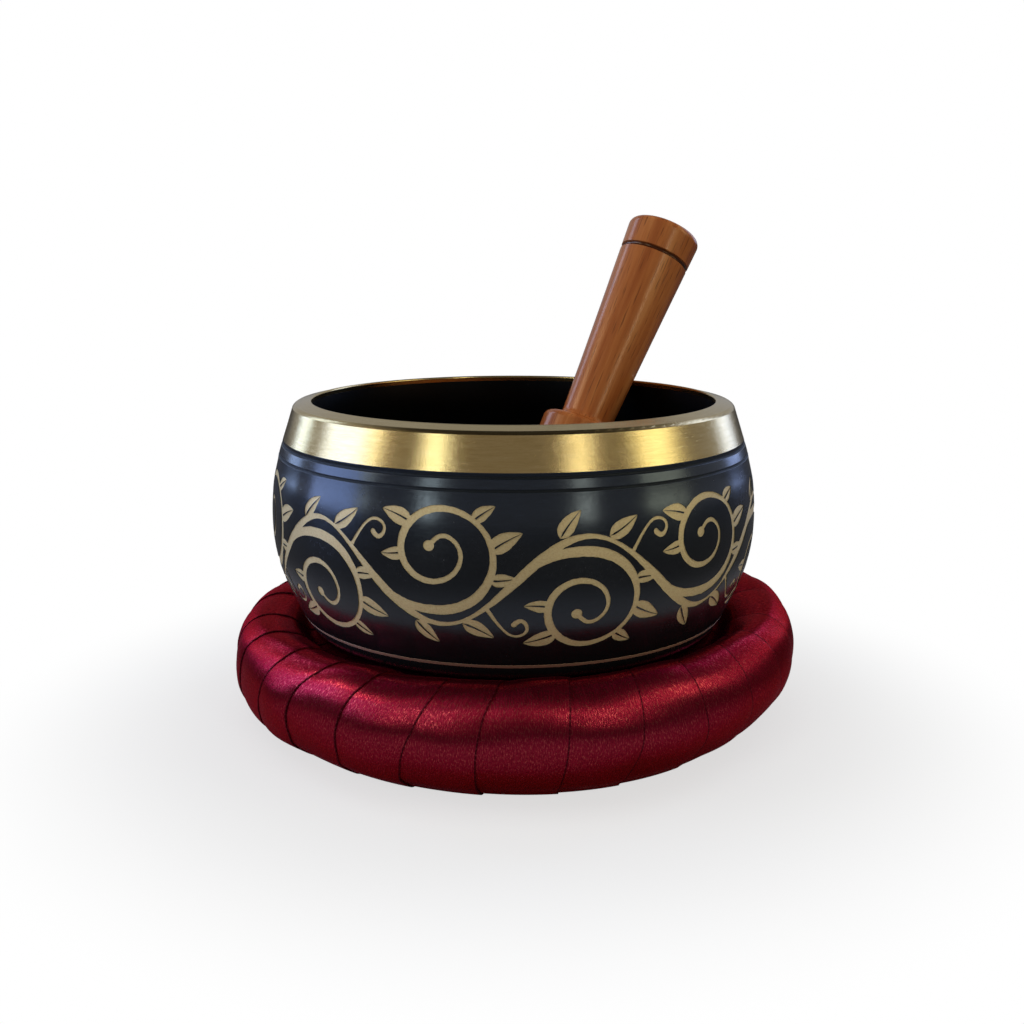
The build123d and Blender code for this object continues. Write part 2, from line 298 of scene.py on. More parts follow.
def lacquer_material(name, painted_shade=1.0, rough0=0.2, level=0.5, wall=False):
    """Dark blue-black baked lacquer over turned metal: faint rings, rubbed patches, fine dust specks."""
    m = Mat(name)
    p = m.coord()
    r, a, z = m.polar(p)
    rings = m.noise(m.vec(m.math("MULTIPLY", a, 0.006), 0.0, z), 2200, 4.0, 0.65)
    marks = m.noise(m.vec(m.math("MULTIPLY", a, 0.07), 0.0, m.math("MULTIPLY", z, 1.0)), 900, 3.0, 0.6)
    patch = m.noise(p, 55, 4.0, 0.6)
    speck = m.n("ShaderNodeTexVoronoi", feature="F1")
    m.put(speck.inputs["Vector"], p)
    speck.inputs["Scale"].default_value = 420
    dots = m.math("MULTIPLY", m.span(speck.outputs["Distance"], 0.02, 0.085, 1.0, 0.0),
                  m.span(m.noise(p, 170, 1.0), 0.62, 0.68, 0.0, 1.0))
    # painted_shade scales the coat's colour down for copies of it that stand in shade
    base = m.mix(m.span(rings, 0.35, 0.7), (0.0070 * painted_shade, 0.0075 * painted_shade, 0.0090 * painted_shade), (0.0130 * painted_shade, 0.0140 * painted_shade, 0.0165 * painted_shade))
    if wall:
        # painted reflection: towards the shoulder the coat's colour is made brighter and bluer, standing in for the
        # cool light the upper wall catches
        zb = m.math("SUBTRACT", z, BASE_Z * MM)
        painted_blue_sheen = m.mix(m.span(rings, 0.35, 0.7), (0.0085, 0.0125, 0.0240), (0.0150, 0.0220, 0.0400))
        base = m.mix(m.span(zb, 0.034, 0.050, 0.0, 1.0, smooth=True), base, painted_blue_sheen)
    base = m.mix(m.span(patch, 0.45, 0.75, 0, 0.4), base, (0.016 * painted_shade, 0.016 * painted_shade, 0.019 * painted_shade))
    base = m.mix(m.math("MULTIPLY", dots, 0.50), base, (0.16, 0.15, 0.14))
    rough = m.math("ADD", m.span(marks, 0.35, 0.7, rough0 - 0.03, rough0 + 0.05), m.span(patch, 0.4, 0.75, 0.0, 0.06))
    rough = m.math("ADD", rough, m.math("MULTIPLY", dots, 0.25), clamp=True)
    if wall:
        # painted shade: the two grooves are made darker, and rougher, than the coat around them
        g1 = m.span(m.math("ABSOLUTE", m.math("SUBTRACT", zb, 0.05275)), 0.00030, 0.00048, 1.0, 0.0)
        g2 = m.span(m.math("ABSOLUTE", m.math("SUBTRACT", zb, 0.05585)), 0.00030, 0.00048, 1.0, 0.0)
        groove_shade = m.math("MAXIMUM", g1, g2)
        base = m.mix(groove_shade, base, (0.0015, 0.0022, 0.0030))
        rough = m.math("ADD", rough, m.math("MULTIPLY", groove_shade, 0.45), clamp=True)
    b1 = m.bump(rings, 0.22, 0.00005)
    b2 = m.bump(marks, 0.18, 0.00006, b1)
    b3 = m.bump(m.noise(p, 260, 2.0), 0.05, 0.00012, b2)
    m.set(Base_Color=base, Roughness=rough, Metallic=0.0, IOR=1.68, Specular_IOR_Level=level, Specular_Tint=(0.72, 0.84, 1.0), Anisotropic=0.45,
          Anisotropic_Rotation=0.25, Tangent=m.tangent("RADIAL", "Z"), Normal=b3)
    return m.m


# the mallet's own axis, as the CAD sets it
TILT, AZ = math.radians(28.71), math.radians(36.6)
M_AXIS = Vector((math.sin(TILT) * math.cos(AZ), math.sin(TILT) * math.sin(AZ), math.cos(TILT)))
M_HEEL = Vector((28.43, 37.52, 67.0 + BASE_Z)) + M_AXIS * (-14.19 - 52.15)
M_GROOVE = 52.15 + 69.22 - 10.4


def wood_material():
    """Lacquered red-brown hardwood, grain along the mallet's axis."""
    m = Mat("wood_lacquered")
    turn = M_AXIS.rotation_difference(Vector((0, 0, 1))).to_matrix()
    here = turn @ (M_HEEL * MM)
    mp = m.n("ShaderNodeMapping")
    m.put(mp.inputs["Vector"], m.coord())
    mp.inputs["Rotation"].default_value = turn.to_euler("XYZ")
    mp.inputs["Location"].default_value = (-here.x, -here.y, -here.z)
    q = mp.outputs[0]
    x, y, z = m.xyz(q)
    bend = m.noise(m.scaled(q, (1, 1, 0.25)), 40, 2.0)
    warped = m.vec(m.math("ADD", x, m.math("MULTIPLY", bend, 0.006)), m.math("ADD", y, m.math("MULTIPLY", bend, 0.003)), m.math("MULTIPLY", z, 0.05))
    rings = m.n("ShaderNodeTexWave", wave_type="RINGS", rings_direction="Z", wave_profile="SIN")
    m.put(rings.inputs["Vector"], m.vmath("ADD", warped, (0.031, 0.017, 0.0)))
    rings.inputs["Scale"].default_value = 62
    rings.inputs["Distortion"].default_value = 3.2
    rings.inputs["Detail"].default_value = 2.0
    rings.inputs["Detail Scale"].default_value = 1.4
    streak = m.noise(m.scaled(q, (1, 1, 0.035)), 520, 5.0, 0.62)
    wide = m.noise(m.scaled(q, (1, 1, 0.09)), 120, 3.0, 0.55)
    fig = m.math("ADD", m.math("MULTIPLY", rings.outputs["Fac"], 0.13), m.math("ADD", m.math("MULTIPLY", streak, 0.55), m.math("MULTIPLY", wide, 0.45)))
    tone = m.ramp(fig, (0.30, (0.34, 0.079, 0.019)), (0.46, (0.48, 0.132, 0.033)), (0.60, (0.59, 0.186, 0.049)), (0.78, (0.74, 0.290, 0.090)))
    pores = m.noise(m.scaled(q, (1, 1, 0.02)), 1700, 2.0, 0.5)
    pore = m.span(pores, 0.60, 0.70, 0.0, 1.0)
    tone = m.mix(m.math("MULTIPLY", pore, 0.55), tone, (0.085, 0.026, 0.013))
    fleck = m.n("ShaderNodeTexVoronoi", feature="F1")
    m.put(fleck.inputs["Vector"], m.scaled(q, (1, 1, 0.3)))
    fleck.inputs["Scale"].default_value = 190
    dark = m.math("MULTIPLY", m.span(fleck.outputs["Distance"], 0.03, 0.13, 1.0, 0.0), m.span(m.noise(q, 60, 1.0), 0.60, 0.66, 0.0, 1.0))
    tone = m.mix(m.math("MULTIPLY", dark, 0.6), tone, (0.06, 0.02, 0.012))
    # the turned groove is burnt dark
    g = m.math("ABSOLUTE", m.math("SUBTRACT", z, M_GROOVE * MM))
    tone = m.mix(m.span(g, 0.00040, 0.00080, 0.94, 0.0, smooth=True), tone, (0.050, 0.010, 0.004))
    # fine turning rings round the mallet, in the bump only
    turned = m.noise(m.vec(0.0, 0.0, z), 2600, 2.0, 0.6)
    b1 = m.bump(streak, 0.18, 0.00010)
    b2 = m.bump(pores, 0.12, 0.00006, b1)
    b3 = m.bump(turned, 0.10, 0.00005, b2)
    rough = m.span(wide, 0.3, 0.7, 0.19, 0.27)
    m.set(Base_Color=tone, Roughness=rough, IOR=1.5, Specular_IOR_Level=0.70, Specular_Tint=(1.0, 0.72, 0.46), Coat_Weight=0.12, Coat_Roughness=0.13, Coat_IOR=1.5,
          Coat_Tint=(1.0, 0.90, 0.78), Normal=b3)
    return m.m


def satin_material():
    """Crimson satin ribbon: long floats along its length, so the gloss spreads across it."""
    m = Mat("satin_crimson")
    uv = m.n("ShaderNodeUVMap", uv_map="ribbon").outputs[0]
    u, v, _ = m.xyz(uv)      # metres along the ribbon and across it
    yarn = m.noise(m.vec(m.math("MULTIPLY", u, 0.04), v, 0.0), 5200, 3.0, 0.65)
    twill = m.n("ShaderNodeTexWave", wave_type="BANDS", bands_direction="X", wave_profile="SIN")
    m.put(twill.inputs["Vector"], m.vec(m.math("ADD", m.math("MULTIPLY", u, 1.0), m.math("MULTIPLY", v, 1.7)), 0.0, 0.0))
    twill.inputs["Scale"].default_value = 540
    twill.inputs["Distortion"].default_value = 0.6
    crumple = m.noise(m.vec(m.math("MULTIPLY", u, 0.30), v, 0.0), 420, 3.0, 0.55)
    rumple = m.noise(m.vec(m.math("MULTIPLY", u, 0.55), v, 3.0), 130, 2.0, 0.5)
    sparkle = m.noise(m.vec(m.math("ADD", m.math("MULTIPLY", u, 0.35), m.math("MULTIPLY", v, 0.25)), v, 0.0), 2900, 2.0, 0.7)
    tone = m.ramp(yarn, (0.30, (0.27, 0.0066, 0.026)), (0.5, (0.385, 0.0125, 0.043)), (0.72, (0.49, 0.023, 0.058)))
    # painted glints: where the sparkle noise is high, the base colour turns to a light, whitish red
    tone = m.mix(m.span(sparkle, 0.54, 0.68, 0.0, 0.50), tone, (0.92, 0.200, 0.170))
    tone = m.mix(m.span(sparkle, 0.48, 0.32, 0.0, 0.35), tone, (0.15, 0.0016, 0.012))
    # the woven edge: a dark line, painted shade of the step where one turn lies over the next, with a row of tiny
    # loops
    off = m.math("ABSOLUTE", m.math("SUBTRACT", v, 0.0125))
    edge = m.span(off, 0.01198, 0.01218, 0.0, 1.0)
    loops = m.math("GREATER_THAN", m.math("SINE", m.math("ADD", m.math("MULTIPLY", u, 3600.0), m.math("MULTIPLY", rumple, 26.0))), 0.80)
    tone = m.mix(m.math("MULTIPLY", edge, 0.72), tone, (0.045, 0.0012, 0.008))
    tone = m.mix(m.math("MULTIPLY", m.math("MULTIPLY", edge, loops), 0.55), tone, (0.36, 0.05, 0.08))
    rough = m.math("ADD", m.span(yarn, 0.3, 0.7, 0.25, 0.33), m.span(crumple, 0.4, 0.7, 0.0, 0.05))
    glint = m.math("ADD", sparkle, m.math("MULTIPLY", m.math("SUBTRACT", twill.outputs["Fac"], 0.5), 0.12))
    rough = m.math("ADD", rough, m.span(glint, 0.36, 0.66, 0.12, -0.11))
    rough = m.math("ADD", rough, m.math("MULTIPLY", edge, 0.3), clamp=True)
    b1 = m.bump(rumple, 0.30, 0.00050)
    b2 = m.bump(crumple, 0.20, 0.00018, b1)
    b3 = m.bump(sparkle, 0.45, 0.00006, b2)
    b4 = m.bump(twill.outputs["Fac"], 0.12, 0.00005, b3)
    m.set(Base_Color=tone, Roughness=rough, Metallic=0.96, IOR=1.35, Specular_IOR_Level=0.20, Specular_Tint=(0.80, 0.16, 0.22), Anisotropic=0.84,
          Tangent=m.tangent("UV_MAP", uv="across"), Sheen_Weight=0.03, Sheen_Roughness=0.30, Sheen_Tint=(0.60, 0.06, 0.20),
          Coat_Weight=0.06, Coat_Roughness=0.30, Coat_IOR=1.5, Normal=b4)
    return m.m


def cotton_material():
    """Packed cotton waste."""
    m = Mat("cotton_stuffing")
    p = m.coord()
    lumps = m.noise(p, 120, 4.0, 0.6)
    fibre = m.noise(m.scaled(p, (1.0, 1.0, 0.3)), 1400, 3.0, 0.7)
    tone = m.mix(m.span(m.math("ADD", m.math("MULTIPLY", lumps, 0.6), m.math("MULTIPLY", fibre, 0.4)), 0.35, 0.65), (0.50, 0.45, 0.37), (0.82, 0.78, 0.70))
    m.set(Base_Color=tone, Roughness=0.95, Sheen_Weight=0.3, Sheen_Roughness=0.6, Normal=m.bump(fibre, 0.5, 0.0003, m.bump(lumps, 0.5, 0.002)))
    return m.m


BRASS = brass_material()
WALL = lacquer_material("lacquer_wall", level=0.6, wall=True)
# painted shade: the inside is the same lacquer with its colour at 0.12 times, dark as the shaded hollow of the bowl
INNER = lacquer_material("lacquer_inside", 0.12, 0.36, level=0.25)
# painted shade: the underside's colour is set a tenth darker, as it sits under the bowl
UNDER = lacquer_material("lacquer_underside", 0.9, 0.27)
WOOD = wood_material()
SATIN = satin_material()
COTTON = cotton_material()

for name, material, slot in (("bowl", BRASS, "brass"), ("inner_lacquer", INNER, "lacquer"), ("base_lacquer", UNDER, "lacquer"), ("mallet", WOOD, "wood")):
    ob = nodes[name]
    ob.data.materials.clear()
    ob.data.materials.append(material)


# ---- lacquered wall with its ornament cut through ------------------------------
# The wall's outline, from the CAD node's own outer face.
me = nodes["wall_lacquer"].data
co = np.array([v.co for v in me.vertices]) / MM
no = np.array([v.normal for v in me.vertices])
rad = np.hypot(co[:, 0], co[:, 1])
outward = (no[:, 0] * co[:, 0] + no[:, 1] * co[:, 1]) / rad
table = {}
for rr, zz, oo in zip(rad, co[:, 2] - BASE_Z, outward):
    if oo > 0.25 and zz < 50.2:
        key = round(zz * 50)
        table.setdefault(key, []).append((zz, rr))
low = np.array(sorted((np.mean([a for a, b in t]), max(b for a, b in t)) for t in table.values()))
keep = [0]
for i in range(1, len(low)):
    if low[i, 0] - low[keep[-1], 0] > 0.6 or i == len(low) - 1:
        keep.append(i)
low = np.concatenate([low[keep], [(52.35, 67.78)]])
# above it, the two turned grooves and the plain strip between them, up to the bare band
GROOVES = [(52.35, 67.78), (52.43, 67.56), (52.55, 67.43), (52.75, 67.36), (52.95, 67.40), (53.07, 67.46), (53.15, 67.53), (53.25, 67.50), (53.9, 67.29),
           (54.7, 67.04), (55.35, 66.83), (55.45, 66.79), (55.53, 66.57), (55.65, 66.44), (55.85, 66.37), (56.05, 66.41), (56.17, 66.48), (56.25, 66.54), (56.95, 66.32)]
prof = np.concatenate([low[:-1], GROOVES])
Z0, Z1 = prof[0, 0], prof[-1, 0]
ORN_TOP = 50.6


def wall_r(z):
    """Radius and slope dr/dz of the wall below the grooves."""
    return cubic(low[:, 0], low[:, 1], z)


LAMBDA = 2 * math.pi * 70 / 6     # the vine's wavelength, six round the bowl
HALF = LAMBDA / 2
MID_Z = 30.6
ROUND = 2 * math.pi * 70


def stroke(points, widths, ragged=0.10, seed=0):
    """Outline of one brush stroke: points of its centre line and its width there."""
    p = np.asarray(points, float)
    w = np.asarray(widths, float)
    d = np.hypot(*np.diff(p, axis=0).T)
    s = np.concatenate([[0], np.cumsum(d)])
    n = max(6, int(s[-1] / 0.55))
    q = np.linspace(0, s[-1], n)
    ws = np.linspace(0, 1, len(w))
    x = np.interp(q, s, p[:, 0])
    y = np.interp(q, s, p[:, 1])
    wd = np.interp(q / s[-1], ws, w)
    for _ in range(3):
        wd[1:-1] = (wd[:-2] + 2 * wd[1:-1] + wd[2:]) / 4
    tx, ty = np.gradient(x), np.gradient(y)
    ln = np.hypot(tx, ty)
    nx, ny = -ty / ln, tx / ln
    a = wd / 2 * (1 + ragged * wobble(q, 9.3, seed + 1)) + 0.05 * wobble(q, 3.1, seed + 2)
    b = wd / 2 * (1 + ragged * wobble(q, 8.1, seed + 3)) + 0.05 * wobble(q, 2.7, seed + 4)
    a, b = np.maximum(a, 0.12), np.maximum(b, 0.12)
    left = np.stack([x + nx * a, y + ny * a], 1)
    right = np.stack([x - nx * b, y - ny * b], 1)
    cap = []
    r = (a[-1] + b[-1]) / 2
    for k in range(1, 5):
        t = math.pi * k / 5
        cap.append((x[-1] + nx[-1] * r * math.cos(t) + tx[-1] / ln[-1] * r * math.sin(t), y[-1] + ny[-1] * r * math.cos(t) + ty[-1] / ln[-1] * r * math.sin(t)))
    cap0 = []
    r = (a[0] + b[0]) / 2
    for k in range(1, 5):
        t = math.pi * k / 5
        cap0.append((x[0] - nx[0] * r * math.cos(t) - tx[0] / ln[0] * r * math.sin(t), y[0] - ny[0] * r * math.cos(t) - ty[0] / ln[0] * r * math.sin(t)))
    return np.array([*left, *cap, *right[::-1], *cap0])


def curve(points, n=60):
    """Smooth curve through a few points."""
    p = np.asarray(points, float)
    d = np.hypot(*np.diff(p, axis=0).T)
    s = np.concatenate([[0], np.cumsum(d)])
    q = np.linspace(0, s[-1], n)
    return np.stack([cubic(s, p[:, 0], q)[0], cubic(s, p[:, 1], q)[0]], 1)


def leaf(x, y, ang, length, width, bend=0.2, seed=0):
    """A pointed leaf in two halves, with the coat left standing along its midrib."""
    t = np.linspace(0, 1, 22)
    c, s = math.cos(ang), math.sin(ang)
    mx, my = t * length, bend * length * (t ** 1.6) * 0.75
    tx, ty = np.gradient(mx), np.gradient(my)
    ln = np.hypot(tx, ty)
    nx, ny = -ty / ln, tx / ln
    full = width / 2 * (np.sin(math.pi * t ** 0.80) ** 0.78) * (1 - 0.15 * t)
    rib = 0.26 * (1 - t) ** 0.8 * smooth01((t - 0.02) / 0.15)
    out = []
    for side, seed2 in ((1, 0.0), (-1, 3.7)):
        edge = np.maximum(full * (1.0 if side > 0 else 0.9) + 0.06 * wobble(t * length, 4.1, seed + seed2, 2), 0.0) + rib + 0.12 * (1 - t)
        ex, ey = mx + side * nx * edge, my + side * ny * edge
        rx, ry = mx + side * nx * rib, my + side * ny * rib
        px, py = np.concatenate([ex, rx[::-1]]), np.concatenate([ey, ry[::-1]])
        poly = np.stack([x + c * px - s * py, y + s * px + c * py], 1)
        out.append(poly)
    return out


def vine():
    """Outlines of a generic scrolling vine, cut by hand all the way round."""
    out = []
    amp = 11.8
    s = np.arange(-8 * HALF, 8 * HALF, 0.8)
    z = MID_Z + (amp + 0.8 * wobble(s, ROUND, 3)) * np.sin(math.pi * s / HALF) + 0.5 * wobble(s, ROUND, 9, 4)
    w = 1.75 + 0.75 * np.sin(2 * math.pi * s / HALF + 0.6) + 0.25 * wobble(s, ROUND, 21, 4)
    # the spiral of one lobe: from the stem, over the top, down and round into its eye
    path = [(-25.4, -6.8), (-20.4, -1.8), (-12.6, 4.9), (-2.5, 7.6), (7.6, 5.2), (13.4, -2.6), (12.2, -11.4), (4.8, -17.0), (-4.4, -16.4), (-9.6, -10.2),
            (-8.4, -3.2), (-2.0, 0.2), (4.4, -2.6), (5.4, -8.2), (1.2, -11.2), (-2.4, -8.6)]
    for k in range(12):
        d = 1 if k % 2 == 0 else -1
        jit = [hash01(31 * k + j) * 2 - 1 for j in range(14)]
        cx = (k - 6 + 0.5) * HALF + 0.5 * jit[0]
        at = lambda a, b: (cx + a * (1 + 0.03 * jit[1]), MID_Z + d * b * (1 + 0.03 * jit[2]))
        tendril = curve([at(a, b) for a, b in path], 150)
        out.append(stroke(tendril, [1.0, 1.6, 2.2, 2.7, 2.5, 1.7, 1.3, 1.6, 2.1, 1.9, 1.4, 1.1, 1.2], 0.06, 100 + 7 * k))
        # the round eye that the spiral ends in
        ex, ez = at(0.9, -6.2)
        a = np.linspace(0, 2 * math.pi, 26, endpoint=False)
        out.append(np.stack([tendril[-1, 0] + 1.45 * np.cos(a), tendril[-1, 1] + 1.35 * np.sin(a)], 1))
        # leaves: on the spiral's outside, on the stem's crest and in the corners
        for j, (lx, lz, deg, size, wide, bend) in enumerate((
                (12.9, -7.6, -38, 9.4, 4.6, 0.30), (8.6, -14.8, -42, 6.4, 3.3, 0.30), (-7.4, -13.9, -150, 8.6, 4.2, -0.32),
                (13.0, -0.6, 8, 6.4, 3.2, -0.25), (-9.0, -6.6, 158, 6.6, 3.2, 0.30),
                (-7.0, 11.0, 62, 8.2, 4.0, -0.35), (5.6, 10.9, 18, 9.0, 4.2, 0.28))):
            px, pz = at(lx, lz)
            ang = math.radians(deg + 5 * jit[4 + j % 8])
            if d < 0:
                ang = -ang
            out += leaf(px, pz, ang, size * (1 + 0.05 * jit[5 + j % 8]), wide, bend * d, 300 + 9 * k + j)
        # a fine curling hair beyond the crest
        hair = curve([at(a, b) for a, b in ((12.0, 6.6), (15.4, 11.6), (19.6, 14.2), (22.2, 12.2), (20.6, 9.8), (18.8, 10.9))], 40)
        out.append(stroke(hair, [1.1, 0.9, 0.75, 0.8, 1.0, 1.5], 0.05, 500 + k))
    keep_s = (s > -ROUND / 2 - 4) & (s < ROUND / 2 + 4)
    out.append(stroke(np.stack([s[keep_s], z[keep_s]], 1), w[keep_s], 0.06, 900))
    return out


def inside(px, py, poly):
    """Winding number test of many points against one outline."""
    x0, y0 = poly.T
    x1, y1 = np.roll(x0, -1), np.roll(y0, -1)
    wn = np.zeros(len(px), int)
    for a, b, c, d in zip(x0, y0, x1, y1):
        if b == d:
            continue
        side = (c - a) * (py - b) - (px - a) * (d - b)
        wn += ((b <= py) & (d > py) & (side > 0)).astype(int)
        wn -= ((b > py) & (d <= py) & (side < 0)).astype(int)
    return wn != 0


def build_wall():
    """The coat as a closed thin shell, open where the ornament is cut through it."""
    polys = []
    for poly in vine():
        poly = poly.copy()
        poly[:, 1] = np.clip(poly[:, 1], Z0 + 1.2, ORN_TOP - 0.9)
        for shift in (-ROUND, 0, ROUND):
            q = poly + np.array([shift, 0])
            if q[:, 0].max() > -ROUND / 2 and q[:, 0].min() < ROUND / 2:
                polys.append(q)
    pts, edges = [], []
    ncol, zrows = 132, np.linspace(Z0, ORN_TOP, 19)
    cols = np.linspace(-ROUND / 2, ROUND / 2, ncol + 1)
    for zz in zrows:
        for ss in cols:
            pts.append((ss, zz))
    m = ncol + 1
    for i in range(ncol):
        edges.append((i, i + 1))
        edges.append(((len(zrows) - 1) * m + i, (len(zrows) - 1) * m + i + 1))
    for j in range(len(zrows) - 1):
        edges.append((j * m, (j + 1) * m))
        edges.append((j * m + ncol, (j + 1) * m + ncol))
    for q in polys:
        k = len(pts)
        pts += [tuple(p) for p in q]
        edges += [(k + i, k + (i + 1) % len(q)) for i in range(len(q))]
    vs, es, fs, *_ = delaunay_2d_cdt([Vector(p) for p in pts], edges, [], 0, 1e-5, False)
    v2 = np.array([(p.x, p.y) for p in vs])
    tri = np.array([list(f) for f in fs if len(f) == 3])
    c = v2[tri].mean(1)
    ok = (np.abs(c[:, 0]) < ROUND / 2 - 1e-3) & (c[:, 1] > Z0 + 1e-3) & (c[:, 1] < ORN_TOP - 1e-3)
    tri, c = tri[ok], c[ok]
    cut = np.zeros(len(tri), bool)
    for q in polys:
        near = (c[:, 0] > q[:, 0].min()) & (c[:, 0] < q[:, 0].max()) & (c[:, 1] > q[:, 1].min()) & (c[:, 1] < q[:, 1].max()) & ~cut
        idx = np.nonzero(near)[0]
        if len(idx):
            cut[idx[inside(c[idx, 0], c[idx, 1], q)]] = True
    tri = tri[~cut]
    a, b, d = v2[tri[:, 0]], v2[tri[:, 1]], v2[tri[:, 2]]
    area = (b[:, 0] - a[:, 0]) * (d[:, 1] - a[:, 1]) - (b[:, 1] - a[:, 1]) * (d[:, 0] - a[:, 0])
    tri[area < 0] = tri[area < 0][:, ::-1]
    tri = tri[np.abs(area) > 1e-9]
    used = np.unique(tri)
    remap = -np.ones(len(v2), int)
    remap[used] = np.arange(len(used))
    v2, tri = v2[used], remap[tri]
    # weld the two sides of the seam at the back
    right = np.nonzero(v2[:, 0] > ROUND / 2 - 1e-3)[0]
    left = np.nonzero(v2[:, 0] < -ROUND / 2 + 1e-3)[0]
    weld = np.arange(len(v2))
    for i in right:
        j = left[np.argmin(np.abs(v2[left, 1] - v2[i, 1]))]
        if abs(v2[j, 1] - v2[i, 1]) < 0.02:
            weld[i] = j
    tri = weld[tri]
    tri = tri[(tri[:, 0] != tri[:, 1]) & (tri[:, 1] != tri[:, 2]) & (tri[:, 2] != tri[:, 0])]
    # rows above, through the two turned grooves
    zr = [51.2, 51.8] + [z for z, _ in GROOVES]
    top = np.array([i for i in range(len(v2)) if abs(v2[i, 1] - ORN_TOP) < 1e-3 and weld[i] == i], dtype=int)
    top = top[np.argsort(v2[top, 0])]
    faces = [list(t) for t in tri]
    verts = [tuple(p) for p in v2]
    row = list(top)
    for zz in zr:
        nxt = []
        for i in row:
            nxt.append(len(verts))
            verts.append((verts[i][0], zz))
        for i in range(len(row)):
            j = (i + 1) % len(row)
            faces.append([row[i], row[j], nxt[j], nxt[i]])
        row = nxt
    verts = np.array(verts)
    T = verts[:, 0] / 70.0
    zz = verts[:, 1]
    rl, dl = wall_r(np.minimum(zz, 52.3))
    rp = np.interp(zz, prof[:, 0], prof[:, 1])
    e = 0.05
    dp = (np.interp(zz + e, prof[:, 0], prof[:, 1]) - np.interp(zz - e, prof[:, 0], prof[:, 1])) / (2 * e)
    upper = zz > 52.36
    r, dr = np.where(upper, rp, rl), np.where(upper, dp, dl)
    nl = np.hypot(1, dr)
    nr, nz = 1 / nl, -dr / nl
    depth = 0.125

    def place(r, z):
        return np.stack([r * np.sin(T), -r * np.cos(T), z + BASE_Z], 1) * MM

    outer, inner = place(r, zz), place(r - nr * depth, zz - nz * depth)
    n3 = np.stack([nr * np.sin(T), -nr * np.cos(T), nz], 1)
    N = len(verts)
    # the outward order of the faces: T to the right and z up seen from outside
    out_faces = [list(f) for f in faces]
    in_faces = [[N + i for i in reversed(f)] for f in faces]
    count = {}
    for f in out_faces:
        for i in range(len(f)):
            e2 = (f[i], f[(i + 1) % len(f)])
            count[e2] = count.get(e2, 0) + 1
    side = [[a, N + a, N + b, b] for (a, b) in count if (b, a) not in count]
    allv = np.concatenate([outer, inner])
    allf = out_faces + in_faces + side
    ob = mesh_object("wall_lacquer_cut", allv, allf, WALL)
    me = ob.data
    if len(me.polygons) == len(allf):
        normals = []
        for k, poly in enumerate(me.polygons):
            if k < len(out_faces):
                normals += [tuple(n3[me.loops[li].vertex_index]) for li in poly.loop_indices]
            elif k < 2 * len(out_faces):
                normals += [tuple(-n3[me.loops[li].vertex_index - N]) for li in poly.loop_indices]
            else:
                normals += [tuple(poly.normal)] * len(poly.loop_indices)
        me.normals_split_custom_set(normals)
    print("wall", len(allv), len(allf), "validated", len(me.polygons))
    return ob


wall = build_wall()
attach(wall, "bowl")
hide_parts("wall_lacquer")


# ---- cushion -----------------------------------------------------------------
# The ring's section, from the outer edge of its flat underside outwards, over the
# crest, down to where the bowl sits, and round the hole (mm).
RING = [(68, 0), (73.6, 1), (78.6, 4.8), (81.6, 10.2), (82.75, 15), (83, 19), (82.6, 23.4), (80.9, 28.6), (77.4, 32.6), (72.8, 34.7), (68.6, 34.7),
        (65.2, 33.2), (62.7, 30.9), (60.3, 29.2), (56.6, 27.75), (51.5, 26.5), (46.6, 25.2), (42.6, 22.2), (40.5, 17.6), (40, 12.6), (40.9, 7.2), (43.6, 2.2), (48, 0), (58, 0)]


def closed_curve(points, n):
    """Closed Catmull-Rom curve through the points, at n even steps, with its perimeter."""
    p = np.array(points, float)
    k = len(p)
    fine = []
    for i in range(k):
        a, b, c, d = p[i - 1], p[i], p[(i + 1) % k], p[(i + 2) % k]
        for t in np.linspace(0, 1, 24, endpoint=False):
            fine.append(0.5 * ((2 * b) + (c - a) * t + (2 * a - 5 * b + 4 * c - d) * t * t + (3 * b - a - 3 * c + d) * t ** 3))
    fine = np.array(fine)
    d = np.hypot(*(np.roll(fine, -1, 0) - fine).T)
    s = np.concatenate([[0], np.cumsum(d)])
    q = np.linspace(0, s[-1], n, endpoint=False)
    loop = np.concatenate([fine, fine[:1]])
    return np.stack([np.interp(q, s, loop[:, 0]), np.interp(q, s, loop[:, 1])], 1), s[-1]


SEC_N = 1016
sec, PERIM = closed_curve(RING, SEC_N)
tan = np.roll(sec, -1, 0) - np.roll(sec, 1, 0)
tan /= np.hypot(*tan.T)[:, None]
sec_n = np.stack([tan[:, 1], -tan[:, 0]], 1)     # outward


def ring_point(u, T, off):
    """Point of the ring at u along its section and angle T, off outwards from its skin (mm arrays)."""
    i = (np.asarray(u) % PERIM) / PERIM * SEC_N
    i0 = np.floor(i).astype(int) % SEC_N
    f = (i - np.floor(i))[..., None]
    p = sec[i0] * (1 - f) + sec[(i0 + 1) % SEC_N] * f
    n = sec_n[i0] * (1 - f) + sec_n[(i0 + 1) % SEC_N] * f
    n = n / np.linalg.norm(n, axis=-1, keepdims=True)
    r, z = p[..., 0] + n[..., 0] * off, p[..., 1] + n[..., 1] * off
    r, z = reshape_ring(r, z, T)
    return np.stack([r * np.sin(T), -r * np.cos(T), np.maximum(z, 0.0)], -1)


